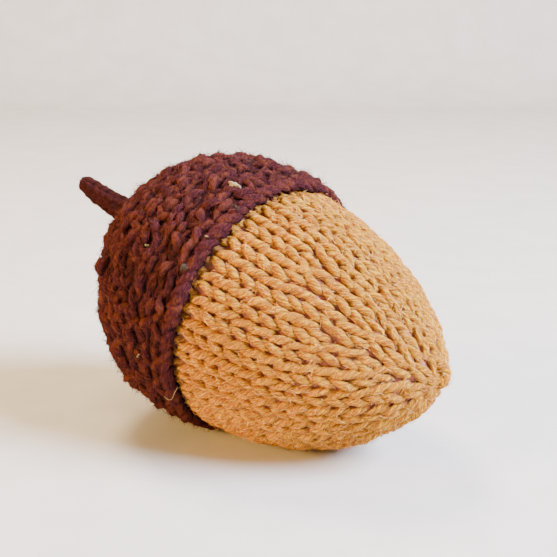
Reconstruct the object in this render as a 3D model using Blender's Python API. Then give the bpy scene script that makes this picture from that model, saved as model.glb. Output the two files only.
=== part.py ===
"""A knitted and stuffed acorn that lies on its side.

The tan nut and the dark cap are knitted covers round one filling, and a short knitted cord is the stem.
Each cover's stitches are raised from its surface by a formula. Metres, +Z up, the tip towards +X, and
the origin on the ground under the middle of the whole.
"""

import math

import bmesh
import bpy
from mathutils import Matrix, Vector

TURN = 2 * math.pi
GAP = 0.0003

# The nut: s is the place along its axis, 0 at the cap's rim and NUT_LENGTH at the tip
NUT_RADIUS = 0.0247
NUT_LENGTH = 0.0400
NUT_WIDEST_AT = -0.0057
NUT_SHOULDER = 2.09
NUT_POINT = 0.64
NUT_WALL = 0.0026
TIP_LIFT = 0.0031
TIP_CURVE = 4

# The cap reaches back from its rim to the crown at -CAP_DEPTH; its rim is drawn in round the nut
CAP_RADIUS = 0.0272
CAP_DEPTH = 0.0404
CAP_SHOULDER = 3.65
CAP_POINT = 1.0
CAP_WALL = 0.0022
CROWN_LIFT = 0.0046
CROWN_CURVE = 5
CAP_SAG = 0.0018
SAG_CURVE = 4
RIM_DRAWN_IN = 0.0016
RIM_BAND = 0.0060
RIM_ROLL = 0.0008
RIM_WALL = 0.0013
TUCK = 0.0050
TUCK_INSET = 0.0007

# The stem
STEM_LENGTH = 0.0185
STEM_FOOT_RADIUS = 0.0031
STEM_RADIUS = 0.00245
STEM_END_RADIUS = 0.00180
STEM_TIP_SHARE = 0.7
STEM_RISE = 0.0014
STEM_ROW = 0.0021
STEM_WALES = 3
STEM_RELIEF = 0.00035
FOOT_ENDS_AT = 0.4
TAPER_STARTS_AT = 0.4
CROWN_FLAT_RADIUS = 0.0034

# Plain knitting of the nut: stitches in each row from the rim to the tip, and where decreases sit
NUT_ROWS = (32, 32, 32, 32, 32, 28, 28, 28, 24, 24, 20, 16, 12, 8, 8)
DECREASE_AT = {5: 38, 8: 61, 10: 38, 11: 75, 12: 70, 13: 35}
EASE_PASSES = 3
NUT_RELIEF = 0.0011
STITCH_COLUMNS = 4
COLUMN_CREST = (0.0, 1.0, 0.5, 1.0)
COLUMN_SHIFT = (0.3, 0.0, -0.3, 0.0)
RING_IN_ROW = (0.25, 0.75)
RING_CREST = (1.0, 0.45)

# Knit-and-purl checks of the cap
CAP_STITCH = 0.0046
CAP_ROW = 0.0031
CAP_RELIEF = 0.0011
PURL_CREST = 1.0
KNIT_CREST = 0.2
EDGE_CREST = 0.15
DEEPEST_RELIEF = 0.0014
CAP_LEAST_STITCHES = 6
CAP_ROW_STARTS_AT = 0.25
NORMAL_STEP = 0.0008

# Plain surfaces inside
INNER_COLUMNS = 32
INNER_STEPS = (0.24, 0.42, 0.58, 0.71, 0.82, 0.9, 0.96)
CAP_INNER_STEPS = (0.22, 0.38, 0.52, 0.64, 0.74, 0.83, 0.91, 0.97)
LEAST_INNER_STEP = 0.05

# How far the toy's own weight presses it flat on the ground, more at the cap's soft rim
NUT_PRESSED = 0.0006
CAP_PRESSED = 0.0012
TILT_HALVINGS = 40

TAN = (0.60, 0.30, 0.11, 1.0)
RED_BROWN = (0.11, 0.022, 0.014, 1.0)
WHITE = (0.85, 0.84, 0.80, 1.0)


def nut_radius(s, inset=0.0):
    """Radius of the nut at s; inside the cap it stays as wide as at the rim."""
    reach = NUT_LENGTH - inset - NUT_WIDEST_AT
    part = (max(s, 0.0) - NUT_WIDEST_AT) / reach
    return (NUT_RADIUS - inset) * max(0.0, 1 - part ** NUT_SHOULDER) ** NUT_POINT


def cap_radius(s, inset=0.0):
    """Radius of the cap at s, from its rim to its crown."""
    depth = max(0.0, -s)
    part = depth / (CAP_DEPTH - inset)
    drawn_in = RIM_DRAWN_IN * max(0.0, 1 - depth / RIM_BAND) ** 2
    return (CAP_RADIUS - inset) * max(0.0, 1 - part ** CAP_SHOULDER) ** CAP_POINT - drawn_in


def centre_height(s):
    """The middle line rises a little towards the tip, and more sharply at the crown."""
    if s > 0:
        return TIP_LIFT * (s / NUT_LENGTH) ** TIP_CURVE
    return CROWN_LIFT * (-s / CAP_DEPTH) ** CROWN_CURVE


def sag(s):
    """How far the filling lets the underside of the cap hang at s."""
    part = min(1.0, max(0.0, -s) / CAP_DEPTH)
    return CAP_SAG * math.sin(math.pi * part) ** SAG_CURVE


def on_axis(s, radius, angle):
    """A point in the acorn's own frame, with its axis along X."""
    hang = sag(s) * min(0.0, math.sin(angle)) ** 2
    return Vector((s, radius * math.cos(angle), centre_height(s) + radius * math.sin(angle) - hang))


class Meridian:
    """The outline of a cover, walked by the distance along its surface from the rim."""

    STEPS = 600

    def __init__(self, radius_at, last):
        self.radius_at = radius_at
        self.places = [last * n / self.STEPS for n in range(self.STEPS + 1)]
        self.walked = [0.0]
        for before, after in zip(self.places, self.places[1:]):
            rise = radius_at(after) - radius_at(before)
            self.walked.append(self.walked[-1] + math.hypot(after - before, rise))
        self.length = self.walked[-1]

    def place(self, distance):
        """s at this distance from the rim."""
        if distance <= 0:
            return 0.0
        for n, walked in enumerate(self.walked):
            if walked >= distance:
                part = (distance - self.walked[n - 1]) / (walked - self.walked[n - 1])
                return self.places[n - 1] + part * (self.places[n] - self.places[n - 1])
        return self.places[-1]

    def sunk(self, distance, depth, angle):
        """A surface point, sunk by depth along the outline's normal."""
        before = self.place(max(0.0, distance - NORMAL_STEP))
        after = self.place(min(self.length, distance + NORMAL_STEP))
        s = self.place(distance)
        along = after - before
        rise = self.radius_at(after) - self.radius_at(before)
        size = math.copysign(math.hypot(along, rise), along)
        s_sunk = s + depth * rise / size
        radius = self.radius_at(s) - depth * along / size
        spot = on_axis(s_sunk, max(radius, GAP), angle)
        spot.z += centre_height(s) - centre_height(s_sunk)
        return spot


NUT_OUTLINE = Meridian(nut_radius, NUT_LENGTH)
CAP_OUTLINE = Meridian(cap_radius, -CAP_DEPTH)


def wale_edges():
    """Angles of the stitch edges in each row of the nut; a decrease drops the edge between two."""
    edges = [TURN * k / NUT_ROWS[0] for k in range(NUT_ROWS[0])]
    rows = [edges]
    for row, count in enumerate(NUT_ROWS[1:], 1):
        edges = list(edges)
        drop = len(edges) - count
        for n in range(drop):
            wanted = math.radians(DECREASE_AT[row]) + TURN * n / drop
            edges.remove(min(edges, key=lambda edge: abs(math.remainder(edge - wanted, TURN))))
        for _ in range(EASE_PASSES):
            before = [edges[-1] - TURN] + edges[:-1]
            after = edges[1:] + [edges[0] + TURN]
            edges = [(low + 2 * edge + high) / 4 for low, edge, high in zip(before, edges, after)]
        rows.append(edges)
    return rows


def nut_rings():
    """Rings of (angle, point) down the knitted nut, from the rim to the tip."""
    pitch = NUT_OUTLINE.length / len(NUT_ROWS)
    rings = []
    for row, edges in enumerate(wale_edges()):
        ends = edges[1:] + [edges[0] + TURN]
        last_row = row == len(NUT_ROWS) - 1
        for in_row, ring_crest in zip(RING_IN_ROW, RING_CREST):
            if last_row and in_row == RING_IN_ROW[-1]:
                continue
            ring = []
            for start, end in zip(edges, ends):
                for column in range(STITCH_COLUMNS):
                    angle = start + (end - start) * column / STITCH_COLUMNS
                    distance = pitch * (row + in_row + COLUMN_SHIFT[column])
                    depth = NUT_RELIEF * (1 - ring_crest * COLUMN_CREST[column])
                    ring.append((angle, NUT_OUTLINE.sunk(distance, depth, angle)))
            rings.append(ring)
    return rings


def cap_rings():
    """Rings of (angle, point) up the cap, from the rim to the crown, with a bump on every other stitch."""
    rows = int(CAP_OUTLINE.length / CAP_ROW)
    rings = []
    for row in range(1, rows):
        radius = cap_radius(CAP_OUTLINE.place(CAP_ROW * (row + 0.5)))
        if radius < CROWN_FLAT_RADIUS + CAP_ROW / 2:
            break
        count = max(CAP_LEAST_STITCHES, 2 * round(TURN * radius / CAP_STITCH / 2))
        for half in range(2):
            ring = []
            for column in range(2 * count):
                angle = TURN * column / (2 * count)
                purl = (column // 2 + row) % 2 == 0
                crest = EDGE_CREST
                if column % 2 == 1 and half == 0:
                    crest = PURL_CREST if purl else KNIT_CREST
                distance = CAP_ROW * (row + CAP_ROW_STARTS_AT + half / 2)
                ring.append((angle, CAP_OUTLINE.sunk(distance, CAP_RELIEF * (1 - crest), angle)))
            rings.append(ring)
    return rings


def plain_ring(s, radius, count=INNER_COLUMNS):
    """A round ring at s."""
    return [(TURN * k / count, on_axis(s, radius, TURN * k / count)) for k in range(count)]


def nut_inner_places(inset):
    """Pairs of s and radius on the nut's inner surface, at fixed shares of its length."""
    reach = NUT_LENGTH - inset - NUT_WIDEST_AT
    first = -NUT_WIDEST_AT / reach
    shares = [first] + [share for share in INNER_STEPS if share > first + LEAST_INNER_STEP]
    places = [NUT_WIDEST_AT + share * reach for share in shares]
    return [(s, nut_radius(s, inset)) for s in places]


def cap_inner_places(inset):
    """Pairs of s and radius on the cap's inner surface, from the rim to the crown."""
    places = [-share * (CAP_DEPTH - inset) for share in CAP_INNER_STEPS]
    return [(s, cap_radius(s, inset)) for s in places]


class Skin:
    """Collects rings of points and joins each to the next, also where their counts differ."""

    def __init__(self):
        self.points = []
        self.faces = []
        self.ring = None

    def add(self, point):
        self.points.append(point)
        return len(self.points) - 1

    def tip(self, point):
        """Closes the last ring, or opens the next one, at a point."""
        middle = self.add(point)
        if self.ring:
            self.fan(middle, self.ring)
        self.ring = [(0.0, middle)]

    def fan(self, middle, ring):
        for (_, first), (_, second) in zip(ring, ring[1:] + ring[:1]):
            self.faces.append((middle, first, second))

    def next(self, ring):
        """Joins the next ring of (angle, point)."""
        new = [(angle, self.add(point)) for angle, point in ring]
        if self.ring and len(self.ring) == 1:
            self.fan(self.ring[0][1], new)
        elif self.ring:
            self.join(self.ring, new)
        self.ring = new

    def join(self, old, new):
        """A strip of triangles that steps along whichever ring lags behind."""
        nearest = min(range(len(new)), key=lambda k: abs(math.remainder(new[k][0] - old[0][0], TURN)))
        new = new[nearest:] + new[:nearest]
        start = old[0][0]
        old_angles = [start + (angle - start) % TURN for angle, _ in old] + [start + TURN]
        shift = math.remainder(new[0][0] - start, TURN)
        first = new[0][0]
        new_angles = [start + shift + (angle - first) % TURN for angle, _ in new]
        new_angles.append(new_angles[0] + TURN)
        i = 0
        j = 0
        while i < len(old) or j < len(new):
            here = old[i % len(old)][1]
            there = new[j % len(new)][1]
            old_next = old_angles[i + 1] if i < len(old) else math.inf
            new_next = new_angles[j + 1] if j < len(new) else math.inf
            if old_next <= new_next:
                self.faces.append((here, old[(i + 1) % len(old)][1], there))
                i += 1
            else:
                self.faces.append((here, new[(j + 1) % len(new)][1], there))
                j += 1


def nut_cover_skin():
    """The knitted bag: stitches outside, a tucked edge under the cap, a plain inside."""
    skin = Skin()
    inner = nut_inner_places(NUT_WALL)
    skin.tip(on_axis(NUT_LENGTH - NUT_WALL, 0, 0))
    for s, radius in reversed(inner):
        skin.next(plain_ring(s, radius))
    skin.next(plain_ring(-TUCK, inner[0][1]))
    skin.next(plain_ring(-TUCK, nut_radius(0.0) - TUCK_INSET, 2 * INNER_COLUMNS))
    skin.next(plain_ring(0.0, nut_radius(0.0) - TUCK_INSET, 2 * INNER_COLUMNS))
    for ring in nut_rings():
        skin.next(ring)
    skin.tip(on_axis(NUT_LENGTH, 0, 0))
    return skin


def cap_skin():
    """The knitted dome: bumps outside, a rolled rim, a flat at the crown for the stem."""
    skin = Skin()
    inner = cap_inner_places(CAP_WALL)
    skin.tip(on_axis(-CAP_DEPTH + CAP_WALL, 0, 0))
    for s, radius in reversed(inner):
        skin.next(plain_ring(s, radius))
    rim = cap_radius(0.0)
    skin.next(plain_ring(-TUCK - GAP, rim - RIM_WALL))
    skin.next(plain_ring(-RIM_ROLL, rim - RIM_WALL))
    skin.next(plain_ring(0.0, rim - RIM_WALL / 2, 2 * INNER_COLUMNS))
    skin.next(plain_ring(-RIM_ROLL, rim, 2 * INNER_COLUMNS))
    for ring in cap_rings():
        skin.next(ring)
    flat_at = crown_flat_at()
    skin.next(plain_ring(flat_at, CROWN_FLAT_RADIUS, INNER_COLUMNS // 2))
    skin.tip(on_axis(flat_at, 0, 0))
    return skin


def crown_flat_at():
    """Where the cap has narrowed to the stem's seat."""
    near = [s for s in CAP_OUTLINE.places if cap_radius(s) > CROWN_FLAT_RADIUS]
    return near[-1]


def stuffing_skin():
    """The filling, a gap inside both covers."""
    skin = Skin()
    skin.tip(on_axis(NUT_LENGTH - NUT_WALL - GAP, 0, 0))
    nut = nut_inner_places(NUT_WALL + GAP)
    for s, radius in reversed(nut):
        skin.next(plain_ring(s, radius))
    skin.next(plain_ring(-TUCK - GAP, nut[0][1]))
    for s, radius in cap_inner_places(CAP_WALL + GAP):
        skin.next(plain_ring(s, radius))
    skin.tip(on_axis(-CAP_DEPTH + CAP_WALL + GAP, 0, 0))
    return skin


def stem_skin():
    """A knitted cord that rises from the crown and narrows to a round end."""
    rows = round(STEM_LENGTH / STEM_ROW)
    rings = 2 * rows
    foot = on_axis(crown_flat_at() - GAP, 0, 0)
    count = STITCH_COLUMNS * STEM_WALES
    skin = Skin()
    skin.tip(foot)
    for n in range(rings + 1):
        part = n / rings
        narrowing = min(1.0, part / FOOT_ENDS_AT)
        taper = max(0.0, part - TAPER_STARTS_AT) / (1 - TAPER_STARTS_AT)
        radius = STEM_FOOT_RADIUS + (STEM_RADIUS - STEM_FOOT_RADIUS) * narrowing
        radius += (STEM_END_RADIUS - STEM_RADIUS) * taper
        if n == rings:
            radius *= STEM_TIP_SHARE
        slope = 2 * STEM_RISE * part / STEM_LENGTH
        centre = foot + Vector((-STEM_LENGTH * part, 0, STEM_RISE * part ** 2))
        outward = Vector((-slope, 0, -1)).normalized()
        ring = []
        for column in range(count):
            angle = TURN * column / count
            lows = STEM_RELIEF * (1 - COLUMN_CREST[(column + 2 * (n % 2)) % STITCH_COLUMNS])
            reach = radius - (lows if 0 < n < rings else 0)
            spot = centre + reach * (math.cos(angle) * Vector((0, 1, 0)) - math.sin(angle) * outward)
            ring.append((angle, spot))
        skin.next(ring)
    skin.tip(foot + Vector((-STEM_LENGTH - STEM_END_RADIUS / 2, 0, STEM_RISE)))
    return skin


def lowest(radius_at, last, tilt):
    """Height of the lowest point of an outline when the axis dips by tilt towards the tip."""
    heights = []
    for n in range(Meridian.STEPS + 1):
        s = last * n / Meridian.STEPS
        heights.append((centre_height(s) - radius_at(s) - sag(s)) * math.cos(tilt) - s * math.sin(tilt))
    return min(heights)


def resting_tilt():
    """The dip at which the cap's rim and the nut's belly are both pressed as far as they give."""
    low = 0.0
    high = math.pi / 4
    for _ in range(TILT_HALVINGS):
        tilt = (low + high) / 2
        cap = lowest(cap_radius, -CAP_DEPTH, tilt)
        nut = lowest(nut_radius, NUT_LENGTH, tilt)
        if nut + NUT_PRESSED > cap + CAP_PRESSED:
            low = tilt
        else:
            high = tilt
    return tilt


def resting_pose(skins):
    """Turns the acorn to its resting dip and sets it on the ground with the origin under its middle."""
    tilt = resting_tilt()
    turn = Matrix.Rotation(tilt, 4, "Y")
    points = [turn @ point for skin in skins for point in skin.points]
    middle = [(min(p[axis] for p in points) + max(p[axis] for p in points)) / 2 for axis in range(2)]
    ground = lowest(nut_radius, NUT_LENGTH, tilt) + NUT_PRESSED
    return Matrix.Translation((-middle[0], -middle[1], -ground)) @ turn


def press_flat(skin, outline_radius, pose):
    """Sets on the ground what the toy's weight presses down: crests and grooves alike."""
    back = pose.inverted()
    for point in skin.points:
        rise = point.z - centre_height(point.x)
        radius = math.hypot(point.y, rise)
        crest = point.copy()
        full = outline_radius(point.x) + sag(point.x) * min(0.0, rise / max(radius, GAP)) ** 2
        if radius > full - DEEPEST_RELIEF:
            crest.y = point.y * full / radius
            crest.z = centre_height(point.x) + rise * full / radius
        if (pose @ crest).z < 0:
            world = pose @ point
            world.z = 0.0
            point[:] = back @ world


def material(name, colour, roughness):
    made = bpy.data.materials.new(name)
    made.use_nodes = True
    shader = made.node_tree.nodes["Principled BSDF"]
    shader.inputs["Base Color"].default_value = colour
    shader.inputs["Roughness"].default_value = roughness
    shader.inputs["Metallic"].default_value = 0.0
    made.diffuse_color = colour
    return made


def add_piece(name, skin, colour, roughness, pose, collection):
    """Makes one closed object of a skin."""
    mesh = bpy.data.meshes.new(name)
    mesh.from_pydata([tuple(pose @ point) for point in skin.points], [], skin.faces)
    shape = bmesh.new()
    shape.from_mesh(mesh)
    bmesh.ops.recalc_face_normals(shape, faces=shape.faces)
    shape.to_mesh(mesh)
    shape.free()
    mesh.shade_smooth()
    mesh.materials.append(material(name + "_yarn", colour, roughness))
    piece = bpy.data.objects.new(name, mesh)
    collection.objects.link(piece)
    return piece


def build():
    for old in list(bpy.data.objects):
        bpy.data.objects.remove(old)
    parts = bpy.data.collections.new("knitted_acorn")
    bpy.context.scene.collection.children.link(parts)
    nut = nut_cover_skin()
    cap = cap_skin()
    stem = stem_skin()
    stuffing = stuffing_skin()
    pose = resting_pose((nut, cap, stem))
    press_flat(nut, nut_radius, pose)
    press_flat(cap, cap_radius, pose)
    add_piece("nut_cover", nut, TAN, 0.9, pose, parts)
    add_piece("cap", cap, RED_BROWN, 0.9, pose, parts)
    add_piece("stem", stem, RED_BROWN, 0.9, pose, parts)
    add_piece("stuffing", stuffing, WHITE, 0.95, pose, parts)


build()
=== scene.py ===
"""The looks of the knitted acorn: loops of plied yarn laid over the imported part, stitch by stitch.

Metres, in the part's own frame: +Z up, the tip towards +X, the origin on the ground.
"""

import math

import bpy
import numpy as np
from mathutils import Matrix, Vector


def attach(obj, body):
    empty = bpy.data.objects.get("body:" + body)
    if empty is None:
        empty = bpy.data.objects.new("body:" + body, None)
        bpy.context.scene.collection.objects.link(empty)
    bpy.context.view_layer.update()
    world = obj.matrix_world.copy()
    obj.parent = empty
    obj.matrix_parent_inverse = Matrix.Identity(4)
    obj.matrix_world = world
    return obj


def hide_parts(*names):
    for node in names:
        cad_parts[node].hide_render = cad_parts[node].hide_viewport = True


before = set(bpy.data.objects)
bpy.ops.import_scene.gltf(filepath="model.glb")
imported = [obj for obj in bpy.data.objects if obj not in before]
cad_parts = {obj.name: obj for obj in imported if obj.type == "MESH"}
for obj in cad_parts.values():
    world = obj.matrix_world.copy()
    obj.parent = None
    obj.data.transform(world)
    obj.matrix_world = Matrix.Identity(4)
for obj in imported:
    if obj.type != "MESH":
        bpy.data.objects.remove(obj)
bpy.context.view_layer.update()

TURN = 2 * math.pi
SEED = 11

# Outlines, as in the part: s runs along the axis, 0 at the cap's rim, positive towards the tip
NUT_RADIUS = 0.0247
NUT_LENGTH = 0.0400
NUT_WIDEST_AT = -0.0057
NUT_SHOULDER = 2.09
NUT_POINT = 0.64
TIP_LIFT = 0.0031
TIP_CURVE = 4
CAP_RADIUS = 0.0272
CAP_DEPTH = 0.0404
CAP_SHOULDER = 3.65
CROWN_LIFT = 0.0046
CROWN_CURVE = 5
CAP_SAG = 0.0018
SAG_CURVE = 4
RIM_DRAWN_IN = 0.0016
RIM_BAND = 0.0060
CROWN_AT = 0.03892
TILT = 0.24332708
RIM_CENTRE = np.array((0.00801527, 0.0, 0.02409361))
STEPS = 1200
NORMAL_STEP = 0.0006

# Plain knitting of the nut: stitches in each row, and where a row's first decrease sits, in degrees
NUT_ROWS = (32, 32, 32, 32, 32, 28, 28, 28, 24, 24, 20, 16, 12, 8, 8)
DECREASE_AT = {5: 38, 8: 61, 10: 38, 11: 75, 12: 70, 13: 35}
EASE_PASSES = 3
NUT_SAMPLES = 24
NUT_SIDES = 14
UPPER_ROWS_FROM = 5
LEAN = 0.215
LEAN_VARIES = 0.1
DRAWN_TOGETHER = 0.012
MERGED_WIDTH = 0.62
MERGED_ASIDE = 0.16
LOOP_REACH = 0.92
NUT_YARN_DEPTH = -0.00150
NUT_YARN_WAVE = 0.00068
NUT_END_MARGIN = 0.0004
TUCKED_DEEPER = 0.0006
LEG_WIDTH = 0.00081
LEG_DEPTH = 0.00092
HEAD_WIDTH = 0.00066
HEAD_DEPTH = 0.00074
FULL_STITCH = 0.0044
STITCH_SCALES = (0.55, 1.05)
STITCH_POWER = 0.7
STITCH_VARIES = 0.11
ROW_WANDERS = 0.09
LEG_STANDS = 0.00018
NUT_BACKS_FROM = -0.004
NUT_BACKS_MARGIN = 0.0002
NUT_BACKS_DEPTH = -0.00125

# The fat loop of yarn beside the tip: its place, its path and its thickness
KNOT_BACK = 0.0026
KNOT_ANGLE = 77
KNOT_SAMPLES = 30
KNOT_TURN = 0.30
KNOT_REACH = 0.0019
KNOT_REACH_EASE = 1.3
KNOT_SWAY = 0.0010
KNOT_FOOT = -0.0012
KNOT_RISE = 0.0013
KNOT_RISE_EASE = 1.4
KNOT_WIDTH = 0.00105
KNOT_LEAST_END = 0.1

# Purl bumps of the cap, its edge of slanted strands, and one bump that stands out
ARCH_POWER = 0.7
BAR_TAPER = 0.6
CROWN_FLAT_RADIUS = 0.0034
NUB_ROW = 0.0019
NUB_PITCH = 0.0025
NUB_LENGTH = 0.0035
NUB_WIDTH = 0.00086
NUB_HEIGHT = 0.00092
NUB_TOP = -0.00130
NUB_FOOT = -0.00205
NUB_BOW = 0.00025
NUB_TILT = 0.40
NUB_TURN = 0.36
NUB_VARIES = 0.10
NUB_SHIFTS = 0.10
NUB_STRAYS = 0.00025
NUB_STANDS = 0.00034
NUB_SAMPLES = 7
NUB_SIDES = 8
EDGE_STRANDS = 72
EDGE_MIDDLE = 0.0017
EDGE_TURN = 0.50
EDGE_LENGTH = 0.0046
EDGE_WIDTH = 0.00100
EDGE_HEIGHT = 0.00080
EDGE_TOP = -0.00085
EDGE_FOOT = -0.00160
EDGE_ENDS = 0.0036
EDGE_VARIES = 0.06
EDGE_SHIFTS = 0.06
EDGE_TURN_VARIES = 0.07
EDGE_STANDS = 0.00008
PROUD_NUB_AT = 0.0245
PROUD_NUB_ANGLE = 171
PROUD_NUB_TURN = 0.2
PROUD_NUB_LENGTH = 0.0034
PROUD_NUB_FOOT = -0.00130
PROUD_NUB_TOP = 0.00020
PROUD_NUB_SIZES = (0.00115, 0.00110)
CAP_BACKS_FROM = 0.0004
CAP_BACKS_MARGIN = 0.0006
CAP_BACKS_DEPTH = -0.0013

# The stem
STEM_LENGTH = 0.0185
STEM_FOOT_RADIUS = 0.0031
STEM_RADIUS = 0.00245
STEM_END_RADIUS = 0.00180
STEM_END_ROUNDING = 0.92
STEM_RISE = 0.0014
FOOT_ENDS_AT = 0.4
TAPER_STARTS_AT = 0.4
STEM_ROWS = 8
STEM_WALES = 4
STEM_SAMPLES = 20
STEM_SIDES = 10
STEM_LEAN = 0.2
STEM_SPIRAL = 0.1
STEM_LOOP_REACH = 0.7
STEM_END_MARGIN = 0.0003
STEM_YARN = 0.00088
STEM_YARN_WAVE = 0.00012
STEM_THINNEST = 0.9
STEM_SWELLS = 0.15
STEM_BACKS_MARGIN = 0.0001
STEM_BACKS_DEPTH = -0.0011

# Yarn
PLIES = 4
PLY_MIDDLE = 0.6
PLY_PITCH = -0.0062
PLY_RELIEF = 0.17
CAP_PLY_PITCH = -0.0090
CAP_PLY_RELIEF = 0.12
DEEPEST = -0.0022
LAY_STEP = 0.0003
NUT_ROUGHNESS = 0.00006
CAP_ROUGHNESS = 0.00014

# The yarn's material: how finely streaks and fibres run, where each colour sets in, where painted shade
# falls in the ply grooves and on the low, recessed yarn, and how high they bump
STREAKS_AROUND = 5.0
STREAKS_ALONG = 6.0
FIBRES_AROUND = 4.0
FIBRES_SLANT = 26.0
FIBRES_ALONG = 9.0
PATCH_SHARE = 0.85
TONE_SHARE = 0.15
SECOND_SHADE = (0.42, 0.60)
LIGHT_STREAKS = (0.45, 0.58)
DARK_FIBRES = (0.50, 0.36)
DARK_FIBRE_SHARE = 0.75
PLY_GROOVE_PAINTED_SHADE = (0.5, 0.0)
PAINTED_SHADE_BY_CREST = (0.85, 0.35)
YARN_ROUGHNESS = 0.85
YARN_SPECULAR = 0.08
SHEEN_ROUGHNESS = 0.5
STREAK_BUMP = 1.6
FIBRE_BUMP = 1.3
PLY_BUMP = 1.5
YARN_BUMP = 0.00045

# Other materials
SHADE_BLENDS = 0.06
GRAIN_SHADE = (0.4, 0.6)
DRIFT_SHADE = (0.35, 0.65)
MATT_SPECULAR = 0.1
FIBRE_ROUGHNESS = 0.8
FIBRE_GRAIN = 1500.0
FIBRE_GRAIN_SHARE = 0.3
PLAIN_BUMP = 0.0002
PLAIN_BUMP_STRENGTH = 0.3

# The backs of the stitches
BACKS_ROUND = 72
BACKS_STEPS = 48
BACKS_OFF_FLOOR = 0.0008

# Loose fibres: how many, and their lengths, radii and how far they stand off
FUZZ_FROM = -0.0012
FIBRE_LENGTHS = (0.4, 1.3)
FIBRE_STANDS = (0.1, 1.0)
FIBRE_STRAYS = 0.45
FIBRE_FLATTENED = 0.85
FIBRE_ARCH = 2.6
FIBRE_CURL = 0.45
FIBRE_OFF_FLOOR = 0.00005
NUT_FIBRES = 12000
NUT_FIBRE_LENGTH = 0.0016
NUT_FIBRE_STAND = 0.3
THIN_FIBRE = 0.000034
CAP_FIBRES = 15500
CAP_FIBRE_SETS = ((0.0010, 0.45), (0.0020, 0.15))
CAP_FIBRE = 0.000038
STEM_FIBRES = 1200
STEM_FIBRE_LENGTH = 0.0012
STEM_FIBRE_STAND = 0.3

# Tweed flecks on the cap: distance from the rim, angle in degrees, size, and how they turn
CREAM_FLECKS = (
    (0.0067, 110.8, 0.75, 0.9),
    (0.0082, 195.2, 0.30, 0.0),
    (0.0024, 136.5, 0.35, 1.2),
    (0.0131, 151.2, 0.25, 0.4),
)
GREY_FLECKS = (
    (0.0019, 119.8, 0.60, 0.9),
    (0.0028, 151.5, 0.70, 0.2),
    (0.0022, 137.0, 0.35, 0.8),
    (0.0021, 85.0, 0.35, 0.6),
)
FLECK_STRANDS = 5
FLECK_SPACING = 0.0003
FLECK_LENGTH = 0.0021
FLECK_LENGTHS = (0.6, 1.3)
FLECK_TURNS = 0.6
FLECK_FOOT = -0.0010
FLECK_TOP = -0.0003
FLECK_STANDS = 0.00008
FLECK_WIDTH = 0.00032
FLECK_HEIGHT = 0.00040

# The flecks on the far side, placed at random between these limits
FAR_FLECKS = 14
FAR_ANGLES = (-120, 60)
FAR_DISTANCES = (0.003, 0.045)
FAR_SIZES = (0.35, 0.8)
FAR_TURNS = (0, 3)

# The pale hair that crosses the cap's edge
HAIR_SAMPLES = 16
HAIR_SIDES = 6
HAIR_RADIUS = 0.00004
HAIR_STARTS_AT = 0.0026
HAIR_CROSSES = 0.0040
HAIR_ANGLE = 210.5
HAIR_DRIFTS = 9.0
HAIR_BOWS = 3.0
HAIR_HEIGHT = 0.0002
HAIR_RISES = 0.0007

# Stage, camera and lights; the wall stands behind the part as the camera sees it
AWAY = (-0.6436, 0.7250)
FLOOR_FROM = -4.0
FLOOR_REACH = 4.0
FLOOR_BELOW = 0.00002
WALL_AT = 0.55
WALL_CURVE = 0.1
WALL_TOP = 1.6
CURVE_FROM = 0.1
CURVE_STEPS = 10
LENS = 80.79
SENSOR = 36.0
NEAREST = 0.01
CAMERA_FROM_RIM = np.array((0.1553, -0.1725, 0.06507))
CAMERA_LOOKS = (-0.64365, 0.72505, -0.24498)
LIT_SPOT = (0.0, 0.0, 0.025)

# Each light: its name, place, width, watts and colour
LIGHTS = (
    ("window", (-0.30, 0.10, 0.60), 0.22, 6.5, (1.0, 0.82, 0.56)),
    ("warm_fill", (-0.30, -0.50, 0.16), 0.25, 9.0, (1.0, 0.62, 0.18)),
    ("side_fill", (0.52, 0.18, 0.42), 0.4, 34.0, (0.66, 0.75, 1.0)),
)
ROOM_COLOUR = (0.94, 0.88, 0.82, 1)
ROOM_STRENGTH = 0.27


def unit(vectors):
    """Rows of vectors, each scaled to length 1."""
    return vectors / np.maximum(np.linalg.norm(vectors, axis=-1, keepdims=True), 1e-12)


def nut_radius(s):
    part = (np.maximum(s, 0.0) - NUT_WIDEST_AT) / (NUT_LENGTH - NUT_WIDEST_AT)
    return NUT_RADIUS * np.maximum(0.0, 1 - part ** NUT_SHOULDER) ** NUT_POINT


def cap_radius(s):
    depth = np.maximum(0.0, -s)
    drawn_in = RIM_DRAWN_IN * np.maximum(0.0, 1 - depth / RIM_BAND) ** 2
    return CAP_RADIUS * np.maximum(0.0, 1 - (depth / CAP_DEPTH) ** CAP_SHOULDER) - drawn_in


def centre_height(s):
    towards_tip = TIP_LIFT * (np.maximum(s, 0.0) / NUT_LENGTH) ** TIP_CURVE
    return towards_tip + CROWN_LIFT * (np.maximum(-s, 0.0) / CAP_DEPTH) ** CROWN_CURVE


def sag(s):
    part = np.clip(-s / CAP_DEPTH, 0.0, 1.0)
    return CAP_SAG * np.sin(math.pi * part) ** SAG_CURVE


def to_world(s, across, up):
    """Points of the acorn's own frame, turned and set down as it rests."""
    x = s * math.cos(TILT) + up * math.sin(TILT)
    z = up * math.cos(TILT) - s * math.sin(TILT)
    return np.stack((x, across, z), axis=-1) + RIM_CENTRE


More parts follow.
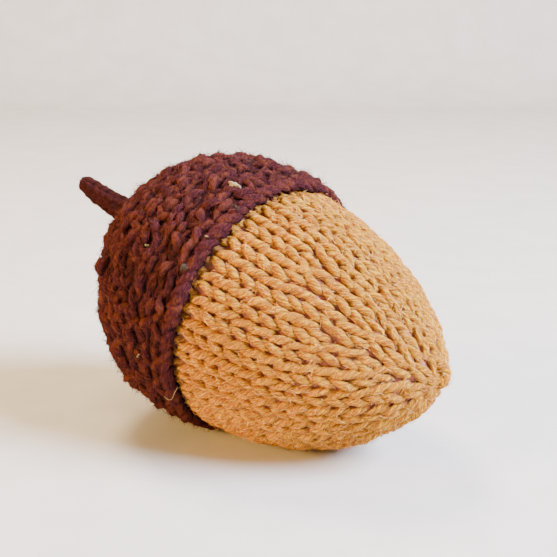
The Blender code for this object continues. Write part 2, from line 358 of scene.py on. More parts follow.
class Outline:
    """A cover's outline, walked by the distance along its surface from the rim."""

    def __init__(self, radius_at, last):
        self.radius_at = radius_at
        self.way = math.copysign(1.0, last)
        self.places = np.linspace(0.0, last, STEPS + 1)
        steps = np.hypot(np.diff(self.places), np.diff(radius_at(self.places)))
        self.walked = np.concatenate(([0.0], np.cumsum(steps)))
        self.length = self.walked[-1]

    def place(self, distance):
        inside = np.interp(distance, self.walked, self.places)
        return np.where(distance < 0, self.way * distance, inside)

    def point(self, distance, angle, height):
        """World points, by distance from the rim, angle round the axis and height off the outline."""
        s = self.place(distance)
        before = self.place(distance - NORMAL_STEP)
        after = self.place(np.minimum(distance + NORMAL_STEP, self.length))
        along = after - before
        rise = self.radius_at(after) - self.radius_at(before)
        size = np.maximum(np.hypot(along, rise), 1e-9) * self.way
        radius = np.maximum(self.radius_at(s) + height * along / size, 0.0)
        hang = sag(s) * np.minimum(0.0, np.sin(angle)) ** 2
        up = centre_height(s) + radius * np.sin(angle) - hang
        return to_world(s - height * rise / size, radius * np.cos(angle), up)


class StemOutline:
    """The stem's surface, walked from its foot to its round end."""

    way = -1.0

    def point(self, distance, angle, height):
        part = distance / STEM_LENGTH
        narrowing = np.clip(part / FOOT_ENDS_AT, 0.0, 1.0)
        taper = np.clip((part - TAPER_STARTS_AT) / (1 - TAPER_STARTS_AT), 0.0, 1.0)
        radius = STEM_FOOT_RADIUS + (STEM_RADIUS - STEM_FOOT_RADIUS) * narrowing
        radius = radius + (STEM_END_RADIUS - STEM_RADIUS) * taper
        end = np.clip((distance - STEM_LENGTH + STEM_END_RADIUS) / STEM_END_RADIUS, 0.0, 1.0)
        radius = np.maximum(radius * np.sqrt(1 - STEM_END_ROUNDING * end ** 2) + height, 0.0)
        s = -CROWN_AT - distance
        up = centre_height(-CROWN_AT) + STEM_RISE * part ** 2 + radius * np.sin(angle)
        return to_world(s, radius * np.cos(angle), up)


NUT_OUTLINE = Outline(nut_radius, NUT_LENGTH)
CAP_OUTLINE = Outline(cap_radius, -CAP_DEPTH)
STEM_OUTLINE = StemOutline()


class Wales:
    """The nut's stitches: for each row their middles and widths, and the stitch above each."""

    def __init__(self):
        edges = [TURN * k / NUT_ROWS[0] for k in range(NUT_ROWS[0])]
        self.edges = [edges]
        self.kept = []
        for row, count in enumerate(NUT_ROWS[1:], 1):
            left = list(range(len(edges)))
            drop = len(edges) - count
            for n in range(drop):
                wanted = math.radians(DECREASE_AT[row]) + TURN * n / drop
                left.remove(min(left, key=lambda k: abs(math.remainder(edges[k] - wanted, TURN))))
            edges = [edges[k] for k in left]
            for _ in range(EASE_PASSES):
                before = [edges[-1] - TURN] + edges[:-1]
                after = edges[1:] + [edges[0] + TURN]
                edges = [(a + 2 * b + c) / 4 for a, b, c in zip(before, edges, after)]
            self.edges.append(edges)
            self.kept.append(left)

    def row(self, row):
        """Middles and widths of a row's stitches."""
        starts = np.array(self.edges[row])
        ends = np.append(starts[1:], starts[0] + TURN)
        return (starts + ends) / 2, ends - starts

    def heads(self, row):
        """Where each stitch's head goes: the middle and width it takes in the row above."""
        middles, widths = self.row(row)
        if row == len(self.edges) - 1:
            return middles, widths
        upper, upper_widths = self.row(row + 1)
        kept = self.kept[row]
        head_middles = []
        head_widths = []
        for stitch in range(len(middles)):
            above = int(np.searchsorted(kept, stitch, side="right")) - 1
            first = kept[above]
            last = kept[(above + 1) % len(kept)] - 1
            middle = upper[above]
            width = upper_widths[above]
            if first != last % len(middles):
                width *= MERGED_WIDTH
                middle += (MERGED_ASIDE if stitch != first else -MERGED_ASIDE) * width
            middle = middles[stitch] + math.remainder(middle - middles[stitch], TURN)
            head_middles.append(middle)
            head_widths.append(width)
        return np.array(head_middles), np.array(head_widths)


def per_stitch(values, samples):
    """One value a stitch, repeated for each of its samples."""
    return np.repeat(values, samples)


def loop_angles(time, lean, base, head):
    """Angles along a row of loops that spread and pinch as yarn does in a stitch."""
    across = (time - 0.5) + lean * np.sin(2 * TURN * time) + DRAWN_TOGETHER * np.sin(TURN * time)
    rise = (1 - np.cos(TURN * time)) / 2
    middle = base[0] * (1 - rise) + head[0] * rise
    width = base[1] * (1 - rise) + head[1] * rise
    return middle + width * across


def tube(points, outward, lift, width, height, sides, pitch, relief, closed=True):
    """Points, texture places and heights over the outline of a plied yarn swept along a path."""
    if closed:
        ahead = np.roll(points, -1, axis=0) - np.roll(points, 1, axis=0)
    else:
        ahead = np.gradient(points, axis=0)
    ahead = unit(ahead)
    side = unit(np.cross(ahead, outward))
    out = np.cross(side, ahead)
    steps = np.linalg.norm(np.diff(points, axis=0), axis=1)
    run = np.concatenate(([0.0], np.cumsum(steps)))
    round_it = np.arange(sides) / sides * TURN - TURN / 4
    twist = TURN * run / pitch
    ply = np.abs(np.cos((round_it[None, :] + twist[:, None]) * PLIES / 2))
    swell = 1 + relief * (ply - PLY_MIDDLE)
    across = np.cos(round_it)[None, :] * width[:, None] * swell
    off = np.sin(round_it)[None, :] * height[:, None] * swell
    ring = points[:, None, :] + across[..., None] * side[:, None, :] + off[..., None] * out[:, None, :]
    return ring, run / pitch, lift[:, None] + off


class Yarns:
    """Collects swept yarns for one mesh."""

    def __init__(self):
        self.points = []
        self.lifts = []
        self.tones = []
        self.quads = []
        self.corners = []
        self.count = 0

    def add(self, ring, turns, lift, closed=True, tone=0.5):
        steps, sides = ring.shape[:2]
        index = self.count + np.arange(steps * sides).reshape(steps, sides)
        last = steps if closed else steps - 1
        here = index[:last]
        there = np.roll(index, -1, axis=0)[:last]
        quads = np.stack((here, there, np.roll(there, -1, axis=1), np.roll(here, -1, axis=1)), axis=-1)
        start = turns[:last, None]
        end = np.append(turns[1:], turns[-1] + turns[1])[:last, None]
        u = np.arange(sides)[None, :] / sides
        u_next = u + 1 / sides
        corners = np.zeros((last, sides, 4, 2))
        for corner, place in enumerate(((u, start), (u, end), (u_next, end), (u_next, start))):
            corners[:, :, corner] = np.stack(np.broadcast_arrays(*place), axis=-1)
        self.points.append(ring.reshape(-1, 3))
        self.lifts.append(lift.ravel())
        self.tones.append(np.repeat(np.broadcast_to(tone, (steps,)), sides))
        self.quads.append(quads.reshape(-1, 4))
        self.corners.append(corners.reshape(-1, 2))
        self.count += steps * sides
        if not closed:
            self.close_end(index[0], turns[0])
            self.close_end(index[-1][::-1], turns[-1])

    def close_end(self, ring, turn):
        """Quads across one end of an open yarn."""
        first = np.arange(len(ring) // 2 - 1)
        last = len(ring) - 1 - first
        quads = np.stack((ring[first], ring[first + 1], ring[last - 1], ring[last]), axis=-1)
        self.quads.append(quads)
        self.corners.append(np.full((quads.size, 2), turn))

    def piece(self, name, material, roughness, random):
        points = np.concatenate(self.points)
        points = points + random.normal(size=points.shape) * roughness
        points[:, 2] = np.maximum(points[:, 2], 0.0)
        faces = np.concatenate(self.quads)
        made = make_piece(name, points, faces, np.concatenate(self.corners), material)
        # How high each point stands, 1 at the outline and 0 at the lowest; the material paints shade on
        # the low parts by it
        lifts = np.clip(1 - np.concatenate(self.lifts) / DEEPEST, 0.0, 1.0)
        keep_values(made, "crest", lifts)
        keep_values(made, "tone", np.concatenate(self.tones))
        return made


def keep_values(made, name, values):
    """Stores one number a point, for the material to read."""
    attribute = made.data.attributes.new(name, "FLOAT", "POINT")
    attribute.data.foreach_set("value", values.astype(np.float32))


def make_piece(name, points, faces, corners, material):
    """An object from arrays of points and of faces that all have the same number of corners."""
    mesh = bpy.data.meshes.new(name)
    size = faces.shape[1]
    mesh.vertices.add(len(points))
    mesh.vertices.foreach_set("co", points.astype(np.float32).ravel())
    mesh.loops.add(faces.size)
    mesh.loops.foreach_set("vertex_index", faces.astype(np.int32).ravel())
    mesh.polygons.add(len(faces))
    mesh.polygons.foreach_set("loop_start", np.arange(0, faces.size, size, dtype=np.int32))
    mesh.update(calc_edges=True)
    if corners is not None:
        layer = mesh.uv_layers.new(name="yarn")
        layer.data.foreach_set("uv", corners.astype(np.float32).ravel())
    mesh.shade_smooth()
    mesh.validate()
    mesh.materials.append(material)
    made = bpy.data.objects.new(name, mesh)
    bpy.context.scene.collection.objects.link(made)
    return made


def lay(outline, distance, angle, height):
    """World points of a path on an outline, with the directions that point outwards."""
    points = outline.point(distance, angle, height)
    above = outline.point(distance, angle, height + LAY_STEP)
    return points, unit(above - points)


def nut_yarns(rows, random):
    """Rows of plain knitting: each is one yarn that runs right round the nut in loops."""
    yarns = Yarns()
    wales = Wales()
    pitch = NUT_OUTLINE.length / len(NUT_ROWS)
    for row in rows:
        base = wales.row(max(row, 0))
        head = wales.heads(row) if row >= 0 else wales.row(0)
        count = len(base[0])
        time = np.tile(np.arange(NUT_SAMPLES) / NUT_SAMPLES, count)
        inside = np.sin(math.pi * time) ** 2
        spread = [per_stitch(values, NUT_SAMPLES) for values in (*base, *head)]
        lean = LEAN * (1 + LEAN_VARIES * per_stitch(random.normal(size=count), NUT_SAMPLES) * inside)
        angle = loop_angles(time, lean, spread[:2], spread[2:])
        rise = (1 - np.cos(TURN * time)) / 2
        wander = random.normal(size=count)
        along = np.arange(count * NUT_SAMPLES) / NUT_SAMPLES
        wander = np.interp(along, np.arange(count + 1), np.append(wander, wander[0]))
        level = row + 0.5 + LOOP_REACH * (2 * rise - 1) + ROW_WANDERS * wander
        distance = np.minimum(level * pitch, NUT_OUTLINE.length - NUT_END_MARGIN)
        front = (1 - np.cos(2 * TURN * time)) / 2
        height = NUT_YARN_DEPTH + NUT_YARN_WAVE * (2 * front - 1)
        height = height + per_stitch(random.normal(size=count) * LEG_STANDS, NUT_SAMPLES) * inside
        if row < 0:
            height = height - TUCKED_DEEPER
        s = NUT_OUTLINE.place(distance)
        stitch = nut_radius(s) * per_stitch(base[1], NUT_SAMPLES)
        scale = np.clip(stitch / FULL_STITCH, *STITCH_SCALES) ** STITCH_POWER
        scale = scale * (1 + STITCH_VARIES * per_stitch(random.normal(size=count), NUT_SAMPLES) * inside)
        width = (HEAD_WIDTH + (LEG_WIDTH - HEAD_WIDTH) * front) * scale
        depth = (HEAD_DEPTH + (LEG_DEPTH - HEAD_DEPTH) * front) * scale
        points, outward = lay(NUT_OUTLINE, distance, angle, height)
        swept = tube(points, outward, height, width, depth, NUT_SIDES, PLY_PITCH, PLY_RELIEF)
        yarns.add(*swept, True, per_stitch(random.uniform(size=count), NUT_SAMPLES))
    return yarns


def tip_knot(yarns):
    """The end of yarn that draws the last stitches together: one fat loop beside the tip."""
    time = np.linspace(0.0, 1.0, KNOT_SAMPLES)
    turn = TURN * (2 * KNOT_TURN * time - KNOT_TURN)
    distance = np.array([NUT_OUTLINE.length - KNOT_BACK])
    points, outward = lay(NUT_OUTLINE, distance, np.radians([KNOT_ANGLE]), np.zeros(1))
    ahead = outward[0]
    across = np.array((0.0, 1.0, 0.0))
    up = np.cross(ahead, across)
    reach = KNOT_REACH * np.sin(turn / KNOT_REACH_EASE)
    sway = KNOT_SWAY * np.cos(turn)
    rise = KNOT_FOOT + KNOT_RISE * np.cos(turn / KNOT_RISE_EASE)
    points = points[0] + rise[:, None] * ahead + reach[:, None] * up + sway[:, None] * across
    width = KNOT_WIDTH * np.sqrt(np.clip(1 - (2 * time - 1) ** 8, KNOT_LEAST_END, 1.0))
    outward = np.tile(ahead, (KNOT_SAMPLES, 1))
    yarns.add(*tube(points, outward, rise, width, width, NUT_SIDES, PLY_PITCH, PLY_RELIEF, False), False)


def arched_bar(yarns, distance, angle, turn, bow, length, heights, sizes, tone):
    """A short length of yarn on the cap whose two ends dive into the knitting."""
    part = np.linspace(-1.0, 1.0, NUB_SAMPLES)
    arch = 1 - part ** 2
    around = length / 2 * part * math.cos(turn) - bow * arch * math.sin(turn)
    across = length / 2 * part * math.sin(turn) + bow * arch * math.cos(turn)
    radius = float(cap_radius(CAP_OUTLINE.place(distance)))
    height = heights[0] + (heights[1] - heights[0]) * arch ** ARCH_POWER
    points, outward = lay(CAP_OUTLINE, distance + across, angle + around / radius, height)
    taper = np.sqrt(1 - BAR_TAPER * part ** 4)
    width = sizes[0] * taper
    depth = sizes[1] * taper
    swept = tube(points, outward, height, width, depth, NUB_SIDES, CAP_PLY_PITCH, CAP_PLY_RELIEF, False)
    yarns.add(*swept, False, tone)


def cap_nubs(random):
    """The purl bumps: short arched bars of yarn, packed in rows over the dome."""
    yarns = Yarns()
    rows = int((CAP_OUTLINE.length - EDGE_ENDS) / NUB_ROW)
    for row in range(rows):
        distance = EDGE_ENDS + NUB_ROW * (row + 0.5)
        radius = float(cap_radius(CAP_OUTLINE.place(distance)))
        if radius < CROWN_FLAT_RADIUS + NUB_ROW / 2:
            break
        count = round(TURN * radius / NUB_PITCH)
        bow = NUB_BOW if row % 2 else -NUB_BOW
        for nub in range(count):
            angle = TURN * (nub + 0.5 * (row % 2) + random.normal() * NUB_SHIFTS) / count
            size = 1 + NUB_VARIES * random.normal()
            place = distance + random.normal() * NUB_STRAYS
            tilt = NUB_TILT if (nub + row // 2) % 2 else -NUB_TILT
            turn = tilt + random.normal() * NUB_TURN
            heights = (NUB_FOOT, NUB_TOP + random.normal() * NUB_STANDS)
            sizes = (NUB_WIDTH * size, NUB_HEIGHT * size)
            length = NUB_LENGTH * size
            arched_bar(yarns, place, angle, turn, bow, length, heights, sizes, random.uniform())
    return yarns


def cap_edge(yarns, random):
    """The cast-on edge: short slanted strands that overlap round the rim."""
    for strand in range(EDGE_STRANDS):
        angle = TURN * (strand + random.normal() * EDGE_SHIFTS) / EDGE_STRANDS
        size = 1 + EDGE_VARIES * random.normal()
        turn = EDGE_TURN + random.normal() * EDGE_TURN_VARIES
        heights = (EDGE_FOOT, EDGE_TOP + random.normal() * EDGE_STANDS)
        sizes = (EDGE_WIDTH * size, EDGE_HEIGHT * size)
        length = EDGE_LENGTH * size
        arched_bar(yarns, EDGE_MIDDLE, angle, turn, 0.0, length, heights, sizes, random.uniform())


def proud_nub(yarns):
    """One stitch that has worked loose and stands out on the side in view."""
    angle = math.radians(PROUD_NUB_ANGLE)
    heights = (PROUD_NUB_FOOT, PROUD_NUB_TOP)
    sizes = PROUD_NUB_SIZES
    arched_bar(yarns, PROUD_NUB_AT, angle, PROUD_NUB_TURN, 0.0, PROUD_NUB_LENGTH, heights, sizes, 0.5)


def stem_yarns():
    """The stem's rows: a few loops each, turned a little from row to row."""
    yarns = Yarns()
    pitch = STEM_LENGTH / STEM_ROWS
    for row in range(-1, STEM_ROWS):
        time = np.tile(np.arange(STEM_SAMPLES) / STEM_SAMPLES, STEM_WALES)
        middles = TURN * (np.arange(STEM_WALES) + 0.5) / STEM_WALES
        spread = [per_stitch(middles, STEM_SAMPLES), np.full(len(time), TURN / STEM_WALES)]
        angle = loop_angles(time, STEM_LEAN, spread, spread) + STEM_SPIRAL * row
        rise = (1 - np.cos(TURN * time)) / 2
        level = row + 0.5 + STEM_LOOP_REACH * (2 * rise - 1)
        front = (1 - np.cos(2 * TURN * time)) / 2
        distance = np.minimum(level * pitch, STEM_LENGTH - STEM_END_MARGIN)
        height = -STEM_YARN + STEM_YARN_WAVE * (2 * front - 1)
        points, outward = lay(STEM_OUTLINE, distance, angle, height)
        size = STEM_YARN * (STEM_THINNEST + STEM_SWELLS * front)
        yarns.add(*tube(points, outward, height, size, size, STEM_SIDES, CAP_PLY_PITCH, CAP_PLY_RELIEF))
    return yarns


def backs(name, outline, first, last, height, material):
    """The plain ground under the loops: the backs of the stitches."""
    distance = np.linspace(first, last, BACKS_STEPS)
    angle = outline.way * np.arange(BACKS_ROUND) / BACKS_ROUND * TURN
    heights = np.full((BACKS_STEPS, BACKS_ROUND), height)
    points = outline.point(distance[:, None], angle[None, :], heights)
    index = np.arange(heights.size).reshape(heights.shape)
    here = index[:-1]
    there = index[1:]
    quads = np.stack((here, np.roll(here, -1, axis=1), np.roll(there, -1, axis=1), there), axis=-1)
    flat = points.reshape(-1, 3)
    flat[:, 2] = np.maximum(flat[:, 2], BACKS_OFF_FLOOR)
    return make_piece(name, flat, quads.reshape(-1, 4), None, material)


def fibre_paths(yarns, count, length, stand, random):
    """Four places along each of many fibres that start on the yarns' crests, and the way each curls."""
    quads = [np.concatenate(part.quads) for part in yarns]
    faces = np.concatenate([np.concatenate(part.points)[q] for part, q in zip(yarns, quads)])
    lifts = [np.concatenate(part.lifts)[q].mean(axis=1) for part, q in zip(yarns, quads)]
    faces = faces[np.concatenate(lifts) > FUZZ_FROM]
    corner = faces[random.integers(len(faces), size=count)]
    start = corner.mean(axis=1)
    normal = unit(np.cross(corner[:, 2] - corner[:, 0], corner[:, 3] - corner[:, 1]))
    along = unit(corner[:, 1] - corner[:, 0]) * random.choice((-1, 1), size=(count, 1))
    away = unit(along + FIBRE_STRAYS * random.normal(size=(count, 3)))
    reach = length * random.uniform(*FIBRE_LENGTHS, size=(count, 1))
    lift = stand * random.uniform(*FIBRE_STANDS, size=(count, 1)) ** 2
    away = away - FIBRE_FLATTENED * (away * normal).sum(axis=1, keepdims=True) * normal
    curl = unit(random.normal(size=(count, 3)))
    curl = curl - (curl * normal).sum(axis=1, keepdims=True) * normal
    places = []
    for t in np.linspace(0.0, 1.0, 4):
        rise = lift * math.sin(FIBRE_ARCH * t) * normal
        places.append(start + reach * (t * away + rise + FIBRE_CURL * t * t * curl))
    return np.stack(places, axis=1), curl


def spindle_faces():
    """The twelve triangles of one closed three-sided spindle: a point, two rings of three and a point."""
    faces = []
    for k in range(3):
        after = (k + 1) % 3
        faces += [(0, 1 + k, 1 + after), (1 + k, 4 + k, 4 + after)]
        faces += [(1 + k, 4 + after, 1 + after), (4 + k, 7, 4 + after)]
    return np.array(faces)


def fuzz(name, yarns, count, length, thickness, stand, material, random):
    """Loose fibres that stand off the yarn, each a thin three-sided spindle."""
    path, curl = fibre_paths(yarns, count, length, stand, random)
    ahead = unit(path[:, 2] - path[:, 1])
    side = unit(np.cross(ahead, curl))
    other = np.cross(side, ahead)
    spokes = [side * math.cos(spin) + other * math.sin(spin) for spin in (0.0, TURN / 3, -TURN / 3)]
    spokes = thickness * np.stack(spokes, axis=1)
    rings = [path[:, k, None] + spokes for k in (1, 2)]
    points = np.concatenate((path[:, :1], *rings, path[:, 3:]), axis=1)
    each = points.shape[1]
    faces = spindle_faces()[None] + each * np.arange(count)[:, None, None]
    flat = points.reshape(-1, 3)
    flat[:, 2] = np.maximum(flat[:, 2], FIBRE_OFF_FLOOR)
    made = make_piece(name, flat, faces.reshape(-1, 3), None, material)
    keep_values(made, "tone", np.repeat(random.uniform(size=count), each))
    return made


class Nodes:
    """Short forms for building a material's nodes."""

    def __init__(self, name):
        self.material = bpy.data.materials.new(name)
        self.material.use_nodes = True
        self.tree = self.material.node_tree
        self.shader = self.tree.nodes["Principled BSDF"]

    def new(self, kind):
        return self.tree.nodes.new(kind)

    def link(self, value, socket):
        if isinstance(value, bpy.types.NodeSocket):
            self.tree.links.new(value, socket)
        else:
            socket.default_value = value

    def math(self, operation, first, second=0.0):
        node = self.new("ShaderNodeMath")
        node.operation = operation
        self.link(first, node.inputs[0])
        self.link(second, node.inputs[1])
        return node.outputs[0]

    def noise(self, place, scale, detail, roughness):
        node = self.new("ShaderNodeTexNoise")
        self.link(place, node.inputs["Vector"])
        node.inputs["Scale"].default_value = scale
        node.inputs["Detail"].default_value = detail
        node.inputs["Roughness"].default_value = roughness
        return node.outputs["Fac"]

    def mix(self, factor, first, second):
        node = self.new("ShaderNodeMix")
        node.data_type = "RGBA"
        self.link(factor, node.inputs[0])
        self.link(first, node.inputs[6])
        self.link(second, node.inputs[7])
        return node.outputs[2]

    def ramp(self, value, low, high):
        node = self.new("ShaderNodeMapRange")
        node.interpolation_type = "SMOOTHSTEP"
        self.link(value, node.inputs["Value"])
        node.inputs["From Min"].default_value = low
        node.inputs["From Max"].default_value = high
        return node.outputs["Result"]

    def combine(self, x, y, z):
        node = self.new("ShaderNodeCombineXYZ")
        for value, socket in zip((x, y, z), node.inputs):
            self.link(value, socket)
        return node.outputs[0]

    def value(self, name):
        """The number that the mesh keeps at each point under this name."""
        node = self.new("ShaderNodeAttribute")
        node.attribute_name = name
        return node.outputs["Fac"]

    def position(self):
        return self.new("ShaderNodeTexCoord").outputs["Object"]

    def bump(self, height, strength, distance):
        node = self.new("ShaderNodeBump")
        node.inputs["Strength"].default_value = strength
        node.inputs["Distance"].default_value = distance
        self.link(height, node.inputs["Height"])
        return node.outputs["Normal"]


def yarn_material(name, base, fibre_tone_and_groove_shade, light, second, painted_recess_shade, patch_scale, ply_groove_shade_and_bump, streak_share, sheen):
    """Plied, fibrous yarn: twisted plies, fine fibre streaks and drifts of colour, with painted shade in
    the grooves between plies and on the low, recessed parts of the yarn.
    """
    n = Nodes(name)
    place = n.new("ShaderNodeUVMap")
    place.uv_map = "yarn"
    parts = n.new("ShaderNodeSeparateXYZ")
    n.link(place.outputs[0], parts.inputs[0])
    around = parts.outputs[0]
    along = parts.outputs[1]
    ply = n.math("ADD", n.math("MULTIPLY", around, PLIES), n.math("MULTIPLY", along, PLIES))
    turned = n.math("MULTIPLY", n.math("ADD", ply, -0.25 * PLIES), math.pi)
    wave = n.math("ABSOLUTE", n.math("COSINE", turned))
    around_ply = n.math("MULTIPLY", ply, STREAKS_AROUND)
    along_ply = n.math("MULTIPLY", along, STREAKS_ALONG)
    streak_place = n.combine(around_ply, along_ply, n.value("tone"))
    streaks = n.noise(streak_place, scale=1.0, detail=4.0, roughness=0.7)
    slant = n.math("ADD", n.math("MULTIPLY", ply, FIBRES_AROUND), n.math("MULTIPLY", along, FIBRES_SLANT))
    crossing = n.combine(slant, n.math("MULTIPLY", along, FIBRES_ALONG), n.value("tone"))
    fibres = n.noise(crossing, scale=1.3, detail=3.0, roughness=0.65)
    patches = n.noise(n.position(), patch_scale, detail=3.0, roughness=0.55)
    patch_part = n.math("MULTIPLY", patches, PATCH_SHARE)
    drift = n.math("ADD", patch_part, n.math("MULTIPLY", n.value("tone"), TONE_SHARE))
    colour = n.mix(n.ramp(drift, *SECOND_SHADE), base, second)
    colour = n.mix(n.math("MULTIPLY", n.ramp(streaks, *LIGHT_STREAKS), streak_share), colour, light)
    # The dark fibre streaks take the yarn's own darker tone; the same colour is then painted as shade
    # into the grooves between the plies
    colour = n.mix(n.math("MULTIPLY", n.ramp(fibres, *DARK_FIBRES), DARK_FIBRE_SHARE), colour, fibre_tone_and_groove_shade)
    colour = n.mix(n.math("MULTIPLY", n.ramp(wave, *PLY_GROOVE_PAINTED_SHADE), ply_groove_shade_and_bump), colour, fibre_tone_and_groove_shade)
    # Painted shade: the lower a point lies under the yarn's crest, the more it takes the recess colour
    colour = n.mix(n.ramp(n.value("crest"), *PAINTED_SHADE_BY_CREST), colour, painted_recess_shade)
    n.link(colour, n.shader.inputs["Base Color"])
    n.shader.inputs["Roughness"].default_value = YARN_ROUGHNESS
    n.shader.inputs["Specular IOR Level"].default_value = YARN_SPECULAR
    n.shader.inputs["Sheen Weight"].default_value = sheen
    n.shader.inputs["Sheen Roughness"].default_value = SHEEN_ROUGHNESS
    fine = n.math("ADD", n.math("MULTIPLY", streaks, STREAK_BUMP), n.math("MULTIPLY", fibres, FIBRE_BUMP))
    height = n.math("ADD", n.math("MULTIPLY", wave, ply_groove_shade_and_bump * PLY_BUMP), fine)
    n.link(n.bump(height, 1.0, YARN_BUMP), n.shader.inputs["Normal"])
    return n.material


def fibre_material(name, *colours):
    """Loose fibres, each in a shade of its own between those given."""
    n = Nodes(name)
    colour = colours[0]
    for step, following in enumerate(colours[1:], 1):
        middle = step / len(colours)
        shade = n.ramp(n.value("tone"), middle - SHADE_BLENDS, middle + SHADE_BLENDS)
        colour = n.mix(shade, colour, following)
    grain = n.noise(n.position(), FIBRE_GRAIN, detail=2.0, roughness=0.5)
    share = n.math("MULTIPLY", n.ramp(grain, *GRAIN_SHADE), FIBRE_GRAIN_SHARE)
    colour = n.mix(share, colour, colours[0])
    n.link(colour, n.shader.inputs["Base Color"])
    n.shader.inputs["Roughness"].default_value = FIBRE_ROUGHNESS
    n.shader.inputs["Specular IOR Level"].default_value = MATT_SPECULAR
    return n.material


def plain_material(name, colour, second, scale, roughness=0.9):
    """A matt surface that drifts between two shades."""
    n = Nodes(name)
    grain = n.noise(n.position(), scale, detail=4.0, roughness=0.6)
    drifting = n.mix(n.ramp(grain, *DRIFT_SHADE), colour, second)
    n.link(drifting, n.shader.inputs["Base Color"])
    n.shader.inputs["Roughness"].default_value = roughness
    n.shader.inputs["Specular IOR Level"].default_value = MATT_SPECULAR
    n.link(n.bump(grain, PLAIN_BUMP_STRENGTH, PLAIN_BUMP), n.shader.inputs["Normal"])
    return n.material


def floor_and_wall():
    """A plain pale floor that curves up into a plain pale wall."""
    material = plain_material("pale_floor", (0.62, 0.57, 0.50, 1), (0.66, 0.61, 0.54, 1), 60.0, 0.8)
    away = np.array(AWAY) / math.hypot(*AWAY)
    side = np.array((away[1], -away[0]))
    profile = [(FLOOR_FROM, 0.0), (WALL_AT, 0.0)]
    for a in np.linspace(CURVE_FROM, TURN / 4, CURVE_STEPS):
        profile.append((WALL_AT + WALL_CURVE * math.sin(a), WALL_CURVE - WALL_CURVE * math.cos(a)))
    profile.append((WALL_AT + WALL_CURVE, WALL_TOP))
    points = []
    for reach, height in profile:
        for across in (-FLOOR_REACH, FLOOR_REACH):
            spot = away * reach + side * across
            points.append((spot[0], spot[1], height - FLOOR_BELOW))
    faces = [(2 * k, 2 * k + 1, 2 * k + 3, 2 * k + 2) for k in range(len(profile) - 1)]
    floor = make_piece("floor", np.array(points), np.array(faces), None, material)


def soft_light(name, spot, size, power, colour):
    lamp = bpy.data.lights.new(name, "AREA")
    lamp.shape = "DISK"
    lamp.size = size
    lamp.energy = power
    lamp.color = colour
    made = bpy.data.objects.new(name, lamp)
    bpy.context.scene.collection.objects.link(made)
    made.location = spot
    made.rotation_euler = (Vector(LIT_SPOT) - Vector(spot)).to_track_quat("-Z", "Y").to_euler()


def camera_and_lights():
    lens = bpy.data.cameras.new("camera")
    lens.sensor_width = SENSOR
    lens.lens = LENS
    lens.clip_start = NEAREST
    camera = bpy.data.objects.new("camera", lens)
    bpy.context.scene.collection.objects.link(camera)
    camera.location = RIM_CENTRE + CAMERA_FROM_RIM
    camera.rotation_euler = Vector(CAMERA_LOOKS).to_track_quat("-Z", "Y").to_euler()
    bpy.context.scene.camera = camera
    for light in LIGHTS:
        soft_light(*light)
    world = bpy.data.worlds.new("room")
    world.use_nodes = True
    background = world.node_tree.nodes["Background"]
    background.inputs[0].default_value = ROOM_COLOUR
    background.inputs[1].default_value = ROOM_STRENGTH
    bpy.context.scene.world = world


def fleck(yarns, distance, angle, size, turn, random):
    """One tweed slub: a few short strands side by side."""
    sizes = (FLECK_WIDTH * size, FLECK_HEIGHT * size)
    for strand in range(FLECK_STRANDS):
        place = distance + (strand - FLECK_STRANDS // 2) * FLECK_SPACING * size
        length = FLECK_LENGTH * size * random.uniform(*FLECK_LENGTHS)
        slant = turn + random.normal() * FLECK_TURNS
        heights = (FLECK_FOOT, FLECK_TOP + random.normal() * FLECK_STANDS)
        tone = random.uniform()
        arched_bar(yarns, place, math.radians(angle), slant, 0.0, length, heights, sizes, tone)


def cap_flecks(random):
    """The flecks of the tweed yarn, by shade: those in view, and more on the far side."""
    cream = Yarns()
    grey = Yarns()
    for yarns, flecks in ((cream, CREAM_FLECKS), (grey, GREY_FLECKS)):
        for distance, angle, size, turn in flecks:
            fleck(yarns, distance, angle, size, turn, random)
    for number in range(FAR_FLECKS):
        angle = random.uniform(*FAR_ANGLES)
        distance = random.uniform(*FAR_DISTANCES)
        size = random.uniform(*FAR_SIZES)
        turn = random.uniform(*FAR_TURNS)
        fleck(grey if number % 3 else cream, distance, angle, size, turn, random)
    return cream, grey


def stray_hair():
    """A pale hair caught over the cap's edge, low on the side in view."""
    yarns = Yarns()
    part = np.linspace(0.0, 1.0, HAIR_SAMPLES)
    bow = np.sin(math.pi * part)
    distance = HAIR_STARTS_AT - HAIR_CROSSES * part
    angle = np.radians(HAIR_ANGLE - HAIR_DRIFTS * part + HAIR_BOWS * bow)
    height = HAIR_HEIGHT + HAIR_RISES * bow
    points, outward = lay(CAP_OUTLINE, distance, angle, height)
    width = np.full(HAIR_SAMPLES, HAIR_RADIUS)
    yarns.add(*tube(points, outward, height, width, width, HAIR_SIDES, PLY_PITCH, 0.0, False), False)
    return yarns


def dress(piece):
    """Fixes a piece to the part."""
    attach(piece, "root")
    return piece


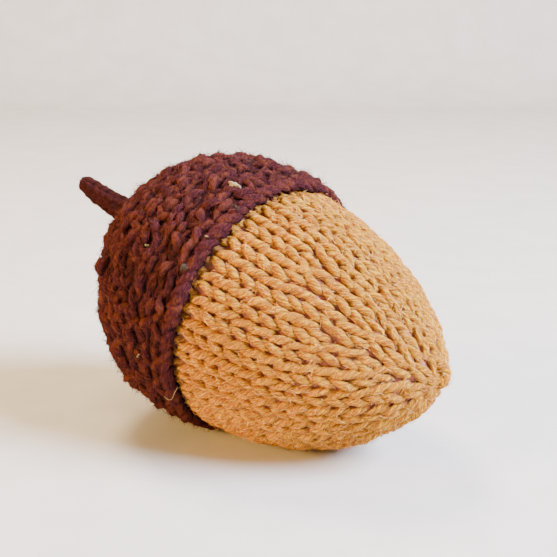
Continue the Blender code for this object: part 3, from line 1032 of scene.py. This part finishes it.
def nut(random):
    """The nut's knitting, the backs of its stitches and its loose fibres."""
    material = yarn_material(
        "tan_yarn",
        base=(0.50, 0.145, 0.001, 1),
        fibre_tone_and_groove_shade=(0.36, 0.105, 0.020, 1),
        light=(1.0, 0.49, 0.004, 1),
        second=(0.54, 0.185, 0.002, 1),
        painted_recess_shade=(0.36, 0.125, 0.080, 1),
        patch_scale=240.0,
        ply_groove_shade_and_bump=0.6,
        streak_share=0.95,
        sheen=0.08,
    )
    # The backs of the stitches, seen in the gaps: a duller, darker tan than the yarn, partly the real
    # back of the knitting and partly painted shade in the gaps
    ground = plain_material("tan_backs_painted_shade", (0.46, 0.165, 0.110, 1), (0.34, 0.12, 0.075, 1), 900.0)
    fibre = fibre_material(
        "tan_fibres",
        (0.92, 0.36, 0.02, 1),
        (0.44, 0.11, 0.02, 1),
        (1.0, 0.62, 0.24, 1),
    )
    lower = nut_yarns(range(-1, UPPER_ROWS_FROM), random)
    upper = nut_yarns(range(UPPER_ROWS_FROM, len(NUT_ROWS)), random)
    tip_knot(upper)
    covered = dress(lower.piece("nut_yarn", material, NUT_ROUGHNESS, random))
    rest = dress(upper.piece("nut_yarn_upper", material, NUT_ROUGHNESS, random))
    last = NUT_OUTLINE.length - NUT_BACKS_MARGIN
    dress(backs("nut_backs", NUT_OUTLINE, NUT_BACKS_FROM, last, NUT_BACKS_DEPTH, ground))
    sizes = (NUT_FIBRE_LENGTH, THIN_FIBRE, NUT_FIBRE_STAND)
    dress(fuzz("nut_fibres", (lower, upper), NUT_FIBRES, *sizes, fibre, random))
    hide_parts("nut_cover")


def cap_and_stem(random):
    """The cap's and the stem's knitting, all in the same tweed yarn; the stem's yarn and fibres get a
    darker copy of its colours, which is painted shade.
    """
    material = yarn_material(
        "red_brown_yarn",
        base=(0.052, 0.009, 0.011, 1),
        fibre_tone_and_groove_shade=(0.026, 0.006, 0.006, 1),
        light=(0.125, 0.026, 0.030, 1),
        second=(0.150, 0.036, 0.008, 1),
        painted_recess_shade=(0.022, 0.006, 0.006, 1),
        patch_scale=500.0,
        ply_groove_shade_and_bump=0.1,
        streak_share=0.75,
        sheen=0.0,
    )
    # The same yarn for the stem, in darker colours: painted shade
    darker = yarn_material(
        "shaded_stem_red_brown_yarn",
        base=(0.028, 0.003, 0.004, 1),
        fibre_tone_and_groove_shade=(0.012, 0.001, 0.001, 1),
        light=(0.075, 0.012, 0.013, 1),
        second=(0.060, 0.009, 0.003, 1),
        painted_recess_shade=(0.012, 0.002, 0.001, 1),
        patch_scale=420.0,
        ply_groove_shade_and_bump=0.0,
        streak_share=0.6,
        sheen=0.0,
    )
    ground = plain_material("brown_backs", (0.050, 0.009, 0.008, 1), (0.024, 0.004, 0.004, 1), 900.0)
    fibre = fibre_material(
        "brown_fibres",
        (0.048, 0.008, 0.009, 1),
        (0.09, 0.015, 0.016, 1),
        (0.14, 0.028, 0.006, 1),
        (0.13, 0.028, 0.032, 1),
    )
    nubs = cap_nubs(random)
    cap_edge(nubs, random)
    proud_nub(nubs)
    stem = stem_yarns()
    covered = dress(nubs.piece("cap_yarn", material, CAP_ROUGHNESS, random))
    stalk = dress(stem.piece("stem_yarn", darker, NUT_ROUGHNESS, random))
    last = CAP_OUTLINE.length - CAP_BACKS_MARGIN
    dress(backs("cap_backs", CAP_OUTLINE, CAP_BACKS_FROM, last, CAP_BACKS_DEPTH, ground))
    last = STEM_LENGTH - STEM_BACKS_MARGIN
    dress(backs("stem_backs", STEM_OUTLINE, 0.0, last, STEM_BACKS_DEPTH, ground))
    for number, (length, stand) in enumerate(CAP_FIBRE_SETS, 1):
        name = "cap_fibres_%d" % number
        dress(fuzz(name, (nubs,), CAP_FIBRES, length, CAP_FIBRE, stand, fibre, random))
    # The stem's fibres, in darker colours than the cap's: painted shade
    dim = fibre_material(
        "shaded_stem_brown_fibres",
        (0.020, 0.003, 0.003, 1),
        (0.05, 0.007, 0.007, 1),
        (0.09, 0.016, 0.012, 1),
    )
    sizes = (STEM_FIBRE_LENGTH, THIN_FIBRE, STEM_FIBRE_STAND)
    dress(fuzz("stem_fibres", (stem,), STEM_FIBRES, *sizes, dim, random))
    cream, grey = cap_flecks(random)
    pale = plain_material("cream_flecks", (0.46, 0.36, 0.20, 1), (0.28, 0.20, 0.09, 1), 1500.0)
    dull = plain_material("grey_flecks", (0.024, 0.018, 0.011, 1), (0.052, 0.040, 0.028, 1), 500.0)
    dress(cream.piece("cap_flecks_cream", pale, NUT_ROUGHNESS, random))
    dress(grey.piece("cap_flecks_grey", dull, NUT_ROUGHNESS, random))
    dress(stray_hair().piece("stray_hair", pale, 0.0, random))
    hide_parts("cap")
    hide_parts("stem")


def main():
    random = np.random.default_rng(SEED)
    nut(random)
    cap_and_stem(random)
    floor_and_wall()
    camera_and_lights()


main()
